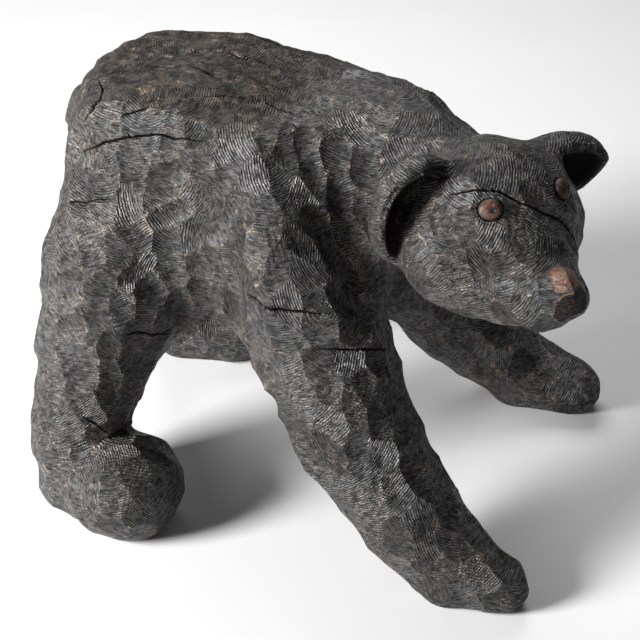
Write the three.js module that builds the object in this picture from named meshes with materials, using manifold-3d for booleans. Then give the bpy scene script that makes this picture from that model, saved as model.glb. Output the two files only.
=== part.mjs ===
// Carved wooden bear, walking, with its head turned to its right.
// Millimetres, +Z up, +X the way the body walks, +Y its left side.
// The origin is the middle of the footprint's box, on the ground.
// The body is one carved log: rounded volumes blended into each other, then covered with facets.
import * as THREE from "three";
import Module from "manifold-3d";

// Body: rump, ribs and belly, each given on the body's own middle plane.
const SHIFT_X = -31;
const SHIFT_Y = -6;
const RUMP = { at: [-141, 0, 464], half: [22, 24, 37], round: 100 };
const RIBS = { at: [-3, 0, 390], half: [7, 36, 44], round: 95 };
const BELLY = { at: [-91, 0, 384], radii: [144, 96, 102] };
const BACK_HEIGHT = 555.5;
const BACK_SLOPE = 0.089;
const TAIL = { at: [-267, 1, 445], radii: [19, 24, 32] };
// Long hollows carved into the flanks and the right of the neck.
const HOLLOWS = [
  { from: [-78, -203, 440], to: [-60, -203, 300], radius: 62 },
  { from: [-78, 203, 440], to: [-60, 203, 300], radius: 56 },
  { from: [80, -148, 512], to: [137, -160, 405], radius: 60 },
];
const NECK_FROM = [101, 0, 439];
const NECK_BACK_OFFSET = 25;
const NECK_RADII = [95, 57];

// Legs: each is a chain of rounded tapers, listed from the body down to the toe.
const HIP = { at: [-180, 100, 315], radius: 97 };
const SHOULDER = { at: [4, 91, 381], radius: 90 };
const HIND_RIGHT = [
  [-211, -122, 222, 75],
  [-238, -164, 88, 52],
];
const HIND_RIGHT_FOOT = [
  [-238, -164, 40, 51],
  [-160, -186, 57, 67],
];
const HIND_LEFT = [
  [-215, 130, 210, 75],
  [-232, 179, 88, 55],
];
const HIND_LEFT_FOOT = [
  [-232, 179, 43, 54],
  [-163, 197, 50, 62],
];
const FORE_RIGHT = [
  [110, -154, 196, 72],
  [180, -168, 98, 62],
  [238, -180, 42, 52],
  [295, -178, 27, 34],
];
const FORE_LEFT = [
  [78, 134, 240, 72],
  [153, 188, 127, 63],
  [235, 213, 41, 51],
  [307, 210, 31, 39],
];

// Head: its own frame is turned at the neck; forward is the muzzle, left is the bear's left.
const HEAD_AT = [237.5, -89.5, 444];
const HEAD_YAW = -42;
const HEAD_PITCH = 10.5;
const HEAD_ROLL = -1;
const SKULL_RADII = [78, 94.5, 91.5];
const MUZZLE_FROM = [15, -7, -18];
const MUZZLE_TO = [105, -1, -14];
const MUZZLE_RADII = [68.5, 41.5];
const MUZZLE_FACE_TILT = 22;
const MUZZLE_FACE_CUT = 4;
const CHEEK = { at: [11.5, 62, -11], radius: 40.5 };
const NOSE = { at: [124, 0, 10], radii: [19, 19, 15] };
const EAR_RIGHT = { at: [-24, -84, 23], radii: [30, 50, 69], turn: [0, 2, 3] };
const EAR_LEFT = { at: [-22, 91, 29], radii: [30, 65, 43], turn: [-3, 9, 0] };
const EAR_WALL_SIDE = 12;
const EAR_WALL_TOP = 13;
const EAR_HOLLOW_FORWARD = 22;
const EAR_HOLLOW_OUT = 5;
const EAR_HOLLOW_DEPTH = 33;

// Eyes: round plugs let into bored sockets.
const EYE_AT = [45.5, 44, 63.5];
const EYE_AXIS = [0.57, 0.43, 0.69];
const EYE_RADIUS = 12.5;
const EYE_DOME = 4.5;
const EYE_STAND = 1.6;
const EYE_DEPTH = 16;
const FIT_GAP = 0.3;
const BORE_REACH = 20;
const EYE_SIDES = 32;
const DOME_STEPS = 5;

// Blends between neighbouring volumes, widest first.
const BLEND_BODY = 90;
const BLEND_BACK = 75;
const BLEND_LEG = 70;
const BLEND_NECK = 60;
const BLEND_MUZZLE = 45;
const BLEND_HOLLOW = 40;
const BLEND_CHEEK = 30;
const BLEND_ANKLE = 14;
const BLEND_EAR = 12;
const BLEND_TAIL = 12;
const BLEND_NOSE = 12;
const BLEND_KNEE = 4;
const BLEND_RIM = 9;

// Facets: size of one carved flat, finer on the head, and the box each is carved out of.
const BODY_FLAT = 23;
const BODY_BOX = { low: [-340, -300, -34.5], high: [380, 310, 600] };
const HEAD_FLAT = 11.6;
const HEAD_BOX = { low: [-110, -180, -130], high: [175, 190, 130] };
const SOLE_SNAP = 1.2;
const SETTLE_STEPS = 5;
const SETTLE_LIMIT = 0.35;
const PROBE = 0.5;

// A grid cell: its corners, and the corners at both ends of each of its edges.
const STEPS = [
  [1, 0, 0],
  [0, 1, 0],
  [0, 0, 1],
];
const CORNERS = Array.from({ length: 8 }, (_, n) => [(n >> 2) & 1, (n >> 1) & 1, n & 1]);
const CELL_EDGES = CORNERS.flatMap((_, n) => [1, 2, 4].filter((bit) => !(n & bit)).map((bit) => [n, n | bit]));

const vector = (a) => new THREE.Vector3(...a);
const mirrored = (a, side) => [a[0], side * a[1], a[2]];

// Head frame, from the body's.
const headTurn = turned(HEAD_YAW, HEAD_PITCH, HEAD_ROLL);
const headPlace = headTurn.clone().setPosition(vector(HEAD_AT));

function turned(yaw, pitch, roll) {
  const rad = THREE.MathUtils.degToRad;
  return new THREE.Matrix4()
    .makeRotationZ(rad(yaw))
    .multiply(new THREE.Matrix4().makeRotationY(rad(pitch)))
    .multiply(new THREE.Matrix4().makeRotationX(rad(roll)));
}

// Smooth union and smooth cut of two signed distances.
function blend(a, b, width) {
  const overlap = Math.max(width - Math.abs(a - b), 0) / width;
  return Math.min(a, b) - (overlap * overlap * width) / 4;
}

function carve(a, b, width) {
  return -blend(-a, -b, width);
}

// Signed distance to a taper with a ball at each end.
function taper(p, from, to, startRadius, endRadius) {
  const ax = to[0] - from[0];
  const ay = to[1] - from[1];
  const az = to[2] - from[2];
  const length2 = ax * ax + ay * ay + az * az;
  const fall = startRadius - endRadius;
  const slant2 = length2 - fall * fall;
  const px = p.x - from[0];
  const py = p.y - from[1];
  const pz = p.z - from[2];
  const along = px * ax + py * ay + pz * az;
  const past = along - length2;
  const ox = px * length2 - ax * along;
  const oy = py * length2 - ay * along;
  const oz = pz * length2 - az * along;
  const off2 = ox * ox + oy * oy + oz * oz;
  const along2 = along * along * length2;
  const past2 = past * past * length2;
  const limit = Math.sign(fall) * fall * fall * off2;
  if (Math.sign(past) * slant2 * past2 > limit) {
    return Math.sqrt(off2 + past2) / length2 - endRadius;
  }
  if (Math.sign(along) * slant2 * along2 < limit) {
    return Math.sqrt(off2 + along2) / length2 - startRadius;
  }
  return (Math.sqrt((off2 * slant2) / length2) + along * fall) / length2 - startRadius;
}

// Signed distance, near enough, to an egg shape centred on its own frame.
function egg(x, y, z, radii) {
  const sx = x / radii[0];
  const sy = y / radii[1];
  const sz = z / radii[2];
  const near = Math.hypot(sx, sy, sz);
  const steep = Math.hypot(sx / radii[0], sy / radii[1], sz / radii[2]);
  return steep > 0 ? (near * (near - 1)) / steep : -Math.min(...radii);
}

function eggAt(p, shape) {
  return egg(p.x - shape.at[0], p.y - shape.at[1], p.z - shape.at[2], shape.radii);
}

function roundedBlock(p, shape) {
  const x = Math.abs(p.x - shape.at[0]) - shape.half[0];
  const y = Math.abs(p.y - shape.at[1]) - shape.half[1];
  const z = Math.abs(p.z - shape.at[2]) - shape.half[2];
  const outside = Math.hypot(Math.max(x, 0), Math.max(y, 0), Math.max(z, 0));
  return outside + Math.min(Math.max(x, y, z), 0) - shape.round;
}

function chain(p, stations) {
  let best = Infinity;
  for (let i = 0; i + 1 < stations.length; i++) {
    const from = stations[i];
    const to = stations[i + 1];
    const piece = taper(p, from, to, from[3], to[3]);
    best = i ? blend(best, piece, BLEND_KNEE) : piece;
  }
  return best;
}

function limb(p, root, side, stations, foot) {
  const start = [...mirrored(root.at, side), root.radius];
  const upper = chain(p, [start, ...stations]);
  return foot ? blend(upper, chain(p, foot), BLEND_ANKLE) : upper;
}

function faceField(q) {
  const snout = taper(q, MUZZLE_FROM, MUZZLE_TO, MUZZLE_RADII[0], MUZZLE_RADII[1]);
  let head = blend(egg(q.x, q.y, q.z, SKULL_RADII), snout, BLEND_MUZZLE);
  for (const side of [-1, 1]) {
    const cheek = q.distanceTo(vector(mirrored(CHEEK.at, side))) - CHEEK.radius;
    head = blend(head, cheek, BLEND_CHEEK);
  }
  const tilt = THREE.MathUtils.degToRad(MUZZLE_FACE_TILT);
  const ahead = (q.x - MUZZLE_TO[0]) * Math.cos(tilt) - (q.z - MUZZLE_TO[2]) * Math.sin(tilt);
  head = carve(head, ahead - MUZZLE_RADII[1] + MUZZLE_FACE_CUT, BLEND_NOSE);
  return blend(head, eggAt(q, NOSE), BLEND_NOSE);
}

// An ear is a cup: an egg with a smaller egg taken out of its front.
function earField(ear, side) {
  const inverse = turned(...ear.turn).setPosition(vector(ear.at)).invert();
  const hollow = [
    EAR_HOLLOW_DEPTH,
    ear.radii[1] - EAR_WALL_SIDE,
    ear.radii[2] - EAR_WALL_TOP,
  ];
  const local = new THREE.Vector3();
  return (q) => {
    local.copy(q).applyMatrix4(inverse);
    const outer = egg(local.x, local.y, local.z, ear.radii);
    const across = local.y + side * EAR_HOLLOW_OUT;
    const inner = egg(local.x - EAR_HOLLOW_FORWARD, across, local.z, hollow);
    return carve(outer, -inner, BLEND_RIM);
  };
}

const rightEar = earField(EAR_RIGHT, -1);
const leftEar = earField(EAR_LEFT, 1);
const neckTo = vector([-NECK_BACK_OFFSET, 0, 0]).applyMatrix4(headPlace).toArray();

// Signed distance to the head and both ears, in the head's frame.
function headField(p) {
  return blend(blend(faceField(p), rightEar(p), BLEND_EAR), leftEar(p), BLEND_EAR);
}

// Signed distance to the body, neck, legs and tail, cut flat at the ground.
function bodyField(p) {
  let body = blend(roundedBlock(p, RUMP), roundedBlock(p, RIBS), BLEND_BODY);
  body = blend(body, eggAt(p, BELLY), BLEND_BODY);
  body = carve(body, p.z - BACK_HEIGHT - BACK_SLOPE * p.x, BLEND_BACK);
  body = blend(body, taper(p, NECK_FROM, neckTo, NECK_RADII[0], NECK_RADII[1]), BLEND_NECK);
  body = blend(body, limb(p, HIP, -1, HIND_RIGHT, HIND_RIGHT_FOOT), BLEND_LEG);
  body = blend(body, limb(p, HIP, 1, HIND_LEFT, HIND_LEFT_FOOT), BLEND_LEG);
  body = blend(body, limb(p, SHOULDER, -1, FORE_RIGHT), BLEND_LEG);
  body = blend(body, limb(p, SHOULDER, 1, FORE_LEFT), BLEND_LEG);
  for (const { from, to, radius } of HOLLOWS) {
    body = carve(body, -taper(p, from, to, radius, radius), BLEND_HOLLOW);
  }
  body = blend(body, eggAt(p, TAIL), BLEND_TAIL);
  return Math.max(body, -p.z);
}

// Evenly spaced grid lines along one axis of a box.
function gridLines(box, axis, flat) {
  const count = Math.ceil((box.high[axis] - box.low[axis]) / flat) + 1;
  return Array.from({ length: count }, (_, n) => box.low[axis] + n * flat);
}

// Moves a point along the field's slope until it lies on the surface.
function settle(point, field, flat) {
  const start = point.clone();
  const probe = new THREE.Vector3();
  const slope = new THREE.Vector3();
  for (let step = 0; step < SETTLE_STEPS; step++) {
    const value = field(point);
    for (let axis = 0; axis < 3; axis++) {
      probe.copy(point);
      probe.setComponent(axis, point.getComponent(axis) + PROBE);
      slope.setComponent(axis, (field(probe) - value) / PROBE);
    }
    const steep = Math.max(slope.lengthSq(), PROBE);
    point.addScaledVector(slope, -value / steep);
    const travel = point.clone().sub(start);
    travel.clampLength(0, SETTLE_LIMIT * flat);
    point.copy(start).add(travel);
  }
  return point;
}

// Corners of a cell inside the wood, grouped so that each group is joined along the cell's edges.
function insideGroups(inside) {
  const group = inside.map((isIn, n) => (isIn ? n : -1));
  for (let pass = 0; pass < 3; pass++) {
    for (const [a, b] of CELL_EDGES) {
      if (inside[a] && inside[b]) {
        group[a] = group[b] = Math.min(group[a], group[b]);
      }
    }
  }
  return group;
}

// One vertex for each group in every cell the surface passes through, one face across every cut edge.
function facetedSurface(field, box, flat) {
  const lines = [0, 1, 2].map((axis) => gridLines(box, axis, flat));
  const count = lines.map((l) => l.length);
  const index = (i, j, k) => (i * count[1] + j) * count[2] + k;
  const node = (i, j, k) => new THREE.Vector3(lines[0][i], lines[1][j], lines[2][k]);
  const value = new Float64Array(count[0] * count[1] * count[2]);
  for (let i = 0; i < count[0]; i++) {
    for (let j = 0; j < count[1]; j++) {
      for (let k = 0; k < count[2]; k++) {
        value[index(i, j, k)] = field(node(i, j, k));
      }
    }
  }
  const points = [];
  const cornerPoint = new Map();
  const key = (cell, corner) => cell * CORNERS.length + corner;
  for (let i = 0; i + 1 < count[0]; i++) {
    for (let j = 0; j + 1 < count[1]; j++) {
      for (let k = 0; k + 1 < count[2]; k++) {
        const at = CORNERS.map((c) => [i + c[0], j + c[1], k + c[2]]);
        const values = at.map((c) => value[index(...c)]);
        const group = insideGroups(values.map((v) => v < 0));
        for (const label of new Set(group.filter((g) => g >= 0))) {
          const sum = new THREE.Vector3();
          let hits = 0;
          for (const [a, b] of CELL_EDGES) {
            if (values[a] < 0 === values[b] < 0 || Math.max(group[a], group[b]) !== label) {
              continue;
            }
            sum.add(node(...at[a]).lerp(node(...at[b]), values[a] / (values[a] - values[b])));
            hits++;
          }
          if (hits) {
            group.forEach((g, n) => g === label && cornerPoint.set(key(index(i, j, k), n), points.length));
            points.push(settle(sum.divideScalar(hits), field, flat));
          }
        }
      }
    }
  }
  const faces = [];
  for (let i = 1; i + 1 < count[0]; i++) {
    for (let j = 1; j + 1 < count[1]; j++) {
      for (let k = 1; k + 1 < count[2]; k++) {
        for (let axis = 0; axis < 3; axis++) {
          const s = STEPS[axis];
          const inside = value[index(i, j, k)] < 0;
          if (inside === value[index(i + s[0], j + s[1], k + s[2])] < 0) {
            continue;
          }
          const u = STEPS[(axis + 1) % 3];
          const v = STEPS[(axis + 2) % 3];
          const far = inside ? 0 : 1;
          const around = (m, n) => {
            const cell = index(i - m * u[0] - n * v[0], j - m * u[1] - n * v[1], k - m * u[2] - n * v[2]);
            const c = [0, 1, 2].map((d) => m * u[d] + n * v[d] + far * s[d]);
            return cornerPoint.get(key(cell, CORNERS.findIndex((o) => o.every((x, d) => x === c[d]))));
          };
          const ring = [around(0, 0), around(1, 0), around(1, 1), around(0, 1)];
          const [a, b, c, d] = inside ? ring : ring.reverse();
          const split = points[a].distanceTo(points[c]) < points[b].distanceTo(points[d]);
          faces.push(...(split ? [a, b, c, a, c, d] : [a, b, d, b, c, d]));
        }
      }
    }
  }
  return { points, faces };
}

function headGeometry() {
  const { points, faces } = facetedSurface(headField, HEAD_BOX, HEAD_FLAT);
  const geometry = new THREE.BufferGeometry().setFromPoints(points);
  geometry.setIndex(faces);
  return geometry.applyMatrix4(headPlace);
}

// The points nearest the ground are set level, so each sole is one flat.
function bodyGeometry() {
  const { points, faces } = facetedSurface(bodyField, BODY_BOX, BODY_FLAT);
  for (const point of points) {
    point.z = Math.abs(point.z) < SOLE_SNAP ? 0 : point.z;
  }
  const geometry = new THREE.BufferGeometry().setFromPoints(points);
  geometry.setIndex(faces);
  return geometry;
}

// Frame of one eye: its long axis stands out of the head.
function eyePlace(side) {
  const axis = vector(mirrored(EYE_AXIS, side)).normalize();
  const lift = vector(mirrored(EYE_AT, side)).addScaledVector(axis, EYE_STAND);
  const turn = new THREE.Quaternion().setFromUnitVectors(new THREE.Vector3(0, 1, 0), axis);
  return headPlace.clone().multiply(new THREE.Matrix4().compose(lift, turn, vector([1, 1, 1])));
}

function plugGeometry(side) {
  const profile = [new THREE.Vector2(0, -EYE_DEPTH), new THREE.Vector2(EYE_RADIUS, -EYE_DEPTH)];
  for (let n = 0; n < DOME_STEPS; n++) {
    const angle = (n / DOME_STEPS) * (Math.PI / 2);
    profile.push(new THREE.Vector2(EYE_RADIUS * Math.cos(angle), EYE_DOME * Math.sin(angle)));
  }
  profile.push(new THREE.Vector2(0, EYE_DOME));
  const plug = new THREE.LatheGeometry(profile, EYE_SIDES);
  plug.deleteAttribute("uv");
  plug.deleteAttribute("normal");
  return plug.applyMatrix4(eyePlace(side));
}

function socketGeometry(side) {
  const radius = EYE_RADIUS + FIT_GAP;
  const height = EYE_DEPTH + FIT_GAP + BORE_REACH;
  const bore = new THREE.CylinderGeometry(radius, radius, height, EYE_SIDES);
  bore.deleteAttribute("uv");
  bore.deleteAttribute("normal");
  bore.translate(0, height / 2 - EYE_DEPTH - FIT_GAP, 0);
  return bore.applyMatrix4(eyePlace(side));
}

const wasm = await Module();
wasm.setup();

function toSolid(geometry) {
  const mesh = new wasm.Mesh({
    numProp: 3,
    vertProperties: new Float32Array(geometry.attributes.position.array),
    triVerts: new Uint32Array(geometry.index.array),
  });
  mesh.merge();
  return new wasm.Manifold(mesh);
}

function fromSolid(solid) {
  const mesh = solid.getMesh();
  const corners = new Float32Array(mesh.numVert * 3);
  for (let n = 0; n < mesh.numVert; n++) {
    for (let axis = 0; axis < 3; axis++) {
      corners[n * 3 + axis] = mesh.vertProperties[n * mesh.numProp + axis];
    }
  }
  const geometry = new THREE.BufferGeometry();
  geometry.setAttribute("position", new THREE.BufferAttribute(corners, 3));
  geometry.setIndex(new THREE.BufferAttribute(mesh.triVerts, 1));
  return geometry;
}

function piece(name, geometry, colour, roughness) {
  const flat = geometry.index ? geometry.toNonIndexed() : geometry;
  flat.computeVertexNormals();
  const material = new THREE.MeshStandardMaterial({ color: colour, roughness });
  const mesh = new THREE.Mesh(flat, material);
  mesh.name = name;
  return mesh;
}

const log = toSolid(bodyGeometry()).add(toSolid(headGeometry()));
const bored = [-1, 1].reduce((solid, side) => solid.subtract(toSolid(socketGeometry(side))), log);

const bear = new THREE.Group();
bear.name = "carved_bear";
bear.add(piece("bear_body", fromSolid(bored), 0x3a3532, 0.55));
bear.add(piece("eye_right", plugGeometry(-1), 0x7a4a38, 0.45));
bear.add(piece("eye_left", plugGeometry(1), 0x7a4a38, 0.45));
bear.position.set(SHIFT_X, SHIFT_Y, 0);

export default bear;
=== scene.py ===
"""A walking bear carved from one dark stained log, with two turned wooden eyes set into its head.

Lengths are worked out in millimetres and put into each mesh in metres.
"""

import math

import bpy
import numpy as np
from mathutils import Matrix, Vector


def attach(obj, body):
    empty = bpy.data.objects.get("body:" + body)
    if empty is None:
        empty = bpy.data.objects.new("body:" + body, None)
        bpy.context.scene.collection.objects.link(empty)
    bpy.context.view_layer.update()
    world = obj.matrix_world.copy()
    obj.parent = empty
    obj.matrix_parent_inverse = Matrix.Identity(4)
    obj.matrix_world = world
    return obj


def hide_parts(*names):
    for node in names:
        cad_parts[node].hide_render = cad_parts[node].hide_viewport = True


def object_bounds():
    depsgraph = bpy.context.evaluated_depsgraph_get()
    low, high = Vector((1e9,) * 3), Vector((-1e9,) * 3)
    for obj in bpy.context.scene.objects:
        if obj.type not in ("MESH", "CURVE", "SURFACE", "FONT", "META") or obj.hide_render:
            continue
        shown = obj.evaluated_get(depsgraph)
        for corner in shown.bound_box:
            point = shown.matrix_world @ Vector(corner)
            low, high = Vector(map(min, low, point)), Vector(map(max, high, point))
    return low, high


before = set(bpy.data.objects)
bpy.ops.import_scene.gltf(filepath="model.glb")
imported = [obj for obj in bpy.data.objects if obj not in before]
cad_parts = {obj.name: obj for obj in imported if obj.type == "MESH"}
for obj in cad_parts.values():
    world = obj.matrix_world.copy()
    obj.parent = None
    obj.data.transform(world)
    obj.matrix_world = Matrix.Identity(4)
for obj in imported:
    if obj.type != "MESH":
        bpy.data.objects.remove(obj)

CAD_BOX = [list(corner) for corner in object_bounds()]
MM = 0.001
CHANCE = np.random.default_rng(4)

# ---------------------------------------------------------------- the carving's own sizes
SHIFT = np.array([-31.0, -6.0, 0.0])
SKIN_CELL, RIDGE_ANGLE = 5.0, 22
RUMP = dict(at=(-141, 0, 464), half=(22, 24, 37), rounding=100)
RIBS = dict(at=(-3, 0, 390), half=(7, 36, 44), rounding=95)
BELLY = dict(at=(-91, 0, 384), radii=(144, 96, 102))
BACK_HEIGHT, BACK_SLOPE = 555.5, 0.089
TAIL = dict(at=(-267, 1, 445), radii=(19, 24, 32))
NECK_FROM, NECK_BACK_OFFSET, NECK_RADII = (101, 0, 439), 25, (95, 57)
HIP, SHOULDER = (-180, 100, 315, 97), (4, 91, 381, 90)
HIND_RIGHT = [(-211, -122, 222, 75), (-238, -164, 88, 52)]
HIND_RIGHT_FOOT = [(-238, -164, 40, 51), (-160, -186, 57, 67)]
HIND_LEFT = [(-215, 130, 210, 75), (-232, 179, 88, 55)]
HIND_LEFT_FOOT = [(-232, 179, 43, 54), (-163, 197, 50, 62)]
FORE_RIGHT = [(110, -154, 196, 72), (180, -168, 98, 62), (238, -180, 42, 52), (295, -178, 27, 34)]
FORE_LEFT = [(78, 134, 240, 72), (153, 188, 127, 63), (235, 213, 41, 51), (307, 210, 31, 39)]

# Long hollows carved into the flanks and the right of the neck: start, end, radius.
HOLLOWS = [
    ((-78, -203, 440), (-60, -203, 300), 62),
    ((-78, 203, 440), (-60, 203, 300), 56),
    ((80, -148, 512), (137, -160, 405), 60),
]

HEAD_AT, HEAD_TURN = np.array([237.5, -89.5, 444.0]), (-42, 10.5, -1)
SKULL_RADII = (78, 94.5, 91.5)
MUZZLE_FROM, MUZZLE_TO, MUZZLE_RADII = (15, -7, -18), (105, -1, -14), (68.5, 41.5)
MUZZLE_FACE_TILT, MUZZLE_FACE_CUT = math.radians(22), 4
CHEEK_AT, CHEEK_RADIUS = (11.5, 62, -11), 40.5
NOSE = dict(at=(124, 0, 10), radii=(19, 19, 15))
EARS = [
    dict(side=-1, at=(-24, -84, 23), radii=(30, 50, 69), turn=(0, 2, 3)),
    dict(side=1, at=(-22, 91, 29), radii=(30, 65, 43), turn=(-3, 9, 0)),
]
EAR_WALL_SIDE, EAR_WALL_TOP = 6, 7
EAR_HOLLOW_FORWARD, EAR_HOLLOW_OUT, EAR_HOLLOW_DEPTH = 21, 1, 33
EYE_AT, EYE_AXIS = np.array([45.5, 44, 63.5]), np.array([0.57, 0.43, 0.69])
EYE_RADIUS, EYE_DOME, EYE_STAND, EYE_SUNK, EYE_SQUASH = 12.2, 5.2, 1.2, 3.0, 0.88
SOCKET_RADIUS, SOCKET_DEPTH = 13.3, 4.4

BLEND = dict(body=90, back=75, leg=70, neck=60, hollow=40, muzzle=45, cheek=30, head=25,
             ankle=14, ear=12, tail=12, nose=12, rim=8, knee=4)

# Splits in the log: points along each, then its half width and depth.
SPLITS = [
    ([(-252, -112, 458), (-214, -126, 482), (-182, -127, 494), (-152, -126, 502),
      (-97, -127, 504)], 0.85, 5),
    ([(-198, -116, 514), (-174, -107, 524), (-149, -100, 530), (-117, -93, 534)], 0.55, 4),
    ([(-116, -84, 537), (-82, -73, 537), (-49, -70, 531), (-11, -74, 524)], 0.55, 4),
    ([(-260, -138, 404), (-228, -146, 418), (-200, -148, 425)], 0.5, 3),
    ([(-59, -186, 364), (-28, -192, 357), (-10, -194, 354), (19, -192, 355), (52, -181, 350)], 0.85, 5),
    ([(52, -198, 315), (85, -181, 310), (115, -143, 291)], 0.6, 4),
    ([(176, -160, 507), (202, -157, 513), (225, -151, 512), (246, -149, 503), (270, -139, 488),
      (286, -126, 474), (301, -112, 441)], 0.85, 5),
    ([(-184, -196, 282), (-158, -181, 272), (-138, -147, 256)], 0.55, 4),
    ([(-233, -206, 162), (-220, -199, 148), (-211, -187, 128)], 0.5, 3),
    ([(-210, -40, 541), (-160, -36, 546), (-120, -44, 545), (-86, -40, 543)], 0.8, 5),
    ([(-236, 12, 536), (-190, 8, 542), (-150, 14, 546), (-104, 6, 545), (-60, 12, 541)], 1.1, 6),
    ([(-170, 60, 545), (-120, 66, 543), (-70, 58, 540), (-30, 62, 535)], 0.6, 4),
    ([(-240, 128, 470), (-180, 134, 480), (-120, 132, 476), (-66, 134, 468)], 0.9, 5),
    ([(-150, 138, 400), (-90, 146, 392), (-30, 158, 380), (20, 160, 372)], 0.8, 5),
    ([(-298, -40, 470), (-303, -10, 452), (-302, 30, 440), (-290, 62, 430)], 0.55, 4),
    ([(128, 190, 190), (160, 200, 160), (186, 214, 132)], 0.55, 4),
    ([(60, 30, 512), (110, 22, 505), (150, 4, 500)], 0.7, 4),
    ([(-247, -66, 528), (-233, -86, 525), (-229, -101, 519), (-233, -108, 510),
      (-246, -110, 497)], 0.7, 5),
]
SPLIT_REACH = 30

# Two sizes of gouge cut. Each is smaller and shallower on the head, by the second number of a pair.
SCOOP = dict(spacing=(26, 6), depth=(4.0, 2.3), long_share=1.8, level=0.2)
FLAT = dict(spacing=(74, 20), depth=(3.0, 1.4), long_share=1.1, level=0.3)
SEEDS_TRIED, SEEDS_AT_ONCE = 9000, 500
TOOL_LINE_BEND = 130
TONE_SHIFT = 900
RIDGE_FADE = 0.35
SLIDE_LIMIT = 0.42

# Relief besides the cuts: how far out the whole skin sits, the log's slow swell (height, size), and
# the torn top's two sizes of furrow (stretch along the body, size, height).
SKIN_OUT = 0.9
SWELL = (1.6, 55.0)
FURROWS = (((0.22, 1, 1), 5.0, 2.6), ((0.4, 1, 1), 12.0, 2.0))

# Places where the mesh is made finer, twice over: half the width of a band along a split, the eye
# rims' middle radius, and how far each round reaches about the rims of the eyes and of the ears.
SPLIT_BAND, EYE_RIM = 4.5, 13
FINER_ROUNDS = ((14, 12), (4, 6))


# ---------------------------------------------------------------- signed distance to the carving
def turn_matrix(yaw, pitch, roll):
    """Rotation about Z, then Y, then X; its columns are the turned forward, left and up."""
    y, p, r = (math.radians(a) for a in (yaw, pitch, roll))
    about_z = np.array([[math.cos(y), -math.sin(y), 0], [math.sin(y), math.cos(y), 0], [0, 0, 1]])
    about_y = np.array([[math.cos(p), 0, math.sin(p)], [0, 1, 0], [-math.sin(p), 0, math.cos(p)]])
    about_x = np.array([[1, 0, 0], [0, math.cos(r), -math.sin(r)], [0, math.sin(r), math.cos(r)]])
    return about_z @ about_y @ about_x


HEAD_AXES = turn_matrix(*HEAD_TURN)


def join(a, b, width):
    """Smooth union: the lesser distance, less a quarter of the width times the squared overlap."""
    overlap = np.maximum(width - np.abs(a - b), 0) / width
    return np.minimum(a, b) - overlap * overlap * width / 4


def cut(a, b, width):
    """Smooth cut: the greater distance, rounded over the width."""
    return -join(-a, -b, width)


def taper(p, start, end, start_radius, end_radius):
    """Distance to the surface swept by a ball whose radius runs evenly from one end to the other."""
    start, end = np.asarray(start, float), np.asarray(end, float)
    axis = end - start
    length2 = axis @ axis
    fall = start_radius - end_radius
    slant2 = length2 - fall * fall
    from_start = p - start
    along = from_start @ axis
    past = along - length2
    off2 = ((from_start * length2 - along[:, None] * axis) ** 2).sum(1)
    along2, past2 = along * along * length2, past * past * length2
    limit = np.sign(fall) * fall * fall * off2
    side = (np.sqrt(off2 * slant2 / length2) + along * fall) / length2 - start_radius
    first = np.sqrt(off2 + along2) / length2 - start_radius
    last = np.sqrt(off2 + past2) / length2 - end_radius
    side = np.where(np.sign(along) * slant2 * along2 < limit, first, side)
    return np.where(np.sign(past) * slant2 * past2 > limit, last, side)


def egg(p, radii):
    """Near distance to an ellipsoid: k(k-1)/s, k the scaled radius and s its slope."""
    radii = np.asarray(radii, float)
    scaled = np.sqrt(((p / radii) ** 2).sum(1))
    slope = np.sqrt(((p / radii ** 2) ** 2).sum(1)) + 1e-9
    return scaled * (scaled - 1) / slope


def rounded_block(p, at, half, rounding):
    """Distance to a box grown by its rounding."""
    q = np.abs(p - np.array(at, float)) - np.array(half, float)
    return np.sqrt((np.maximum(q, 0) ** 2).sum(1)) + np.minimum(q.max(1), 0) - rounding


def chain(p, stations):
    """Tapers strung through the stations, each (x, y, z, radius)."""
    pieces = [taper(p, a[:3], b[:3], a[3], b[3]) for a, b in zip(stations, stations[1:])]
    whole = pieces[0]
    for piece in pieces[1:]:
        whole = join(whole, piece, BLEND["knee"])
    return whole


def limb(p, root, side, stations, foot=None):
    """A leg from its root in the body, with its foot set against it at a creased ankle."""
    start = (root[0], side * root[1], root[2], root[3])
    leg = chain(p, [start, *stations])
    return join(leg, chain(p, foot), BLEND["ankle"]) if foot else leg


def face_distance(q):
    """Skull, cheeks, muzzle with a flat front, and nose, in the head's own axes."""
    muzzle = taper(q, MUZZLE_FROM, MUZZLE_TO, *MUZZLE_RADII)
    head = join(egg(q, SKULL_RADII), muzzle, BLEND["muzzle"])
    for side in (-1, 1):
        cheek = np.array(CHEEK_AT) * (1, side, 1)
        head = join(head, np.sqrt(((q - cheek) ** 2).sum(1)) - CHEEK_RADIUS, BLEND["cheek"])
    ahead = (q[:, 0] - MUZZLE_TO[0]) * math.cos(MUZZLE_FACE_TILT)
    ahead = ahead - (q[:, 2] - MUZZLE_TO[2]) * math.sin(MUZZLE_FACE_TILT)
    head = cut(head, ahead - MUZZLE_RADII[1] + MUZZLE_FACE_CUT, BLEND["nose"])
    return join(head, egg(q - np.array(NOSE["at"]), NOSE["radii"]), BLEND["nose"])


def ear_shells(q, ear):
    """Forward place in the ear, and distances to its outer egg and to the egg hollowed out of it."""
    local = (q - np.array(ear["at"])) @ turn_matrix(*ear["turn"])
    hollow = (EAR_HOLLOW_DEPTH, ear["radii"][1] - EAR_WALL_SIDE, ear["radii"][2] - EAR_WALL_TOP)
    centre = np.array([EAR_HOLLOW_FORWARD, -ear["side"] * EAR_HOLLOW_OUT, 0])
    return local[:, 0], egg(local, ear["radii"]), egg(local - centre, hollow)


def ear_distance(q, ear):
    """A cup: an egg with a smaller egg taken out of its front."""
    _, outer, hollow = ear_shells(q, ear)
    return cut(outer, -hollow, BLEND["rim"])


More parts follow.
